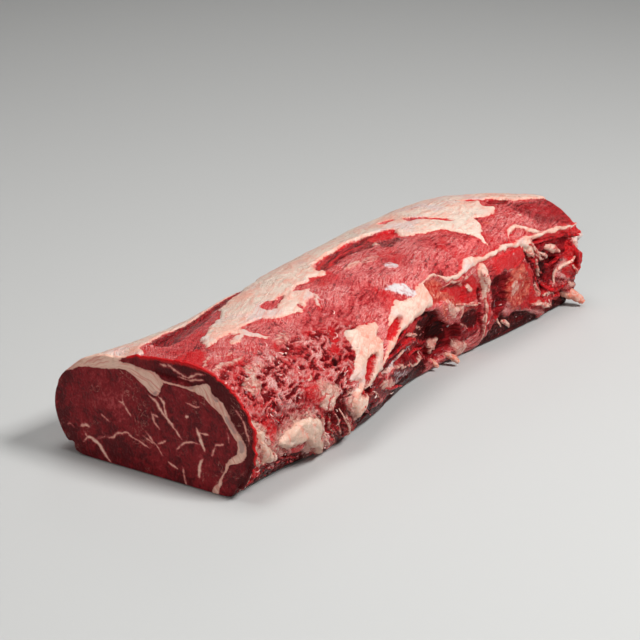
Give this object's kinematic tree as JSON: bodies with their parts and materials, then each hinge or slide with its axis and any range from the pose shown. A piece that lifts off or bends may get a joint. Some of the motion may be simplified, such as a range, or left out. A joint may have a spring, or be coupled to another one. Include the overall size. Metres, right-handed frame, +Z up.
{
  "type": "boneless beef rib roast",
  "caption": "Whole raw boneless beef rib roast lying on its flat underside, with a clean cut face at each end and a scalloped chine side.",
  "frame": {"origin": "middle of the flat underside, on the surface that the roast lies on", "axes": "+X along the roast from the near cut face to the far one, -Y to the scalloped chine side, +Z up"},
  "size_m": [0.3992, 0.1514, 0.0825],
  "materials": {
    "lean": "moist raw lean beef, semi-gloss",
    "fat": "raw cream-pink beef fat, waxy satin"
  },
  "bodies": {
    "root": {"rib_roast": "lean"}
  },
  "joints": []
}
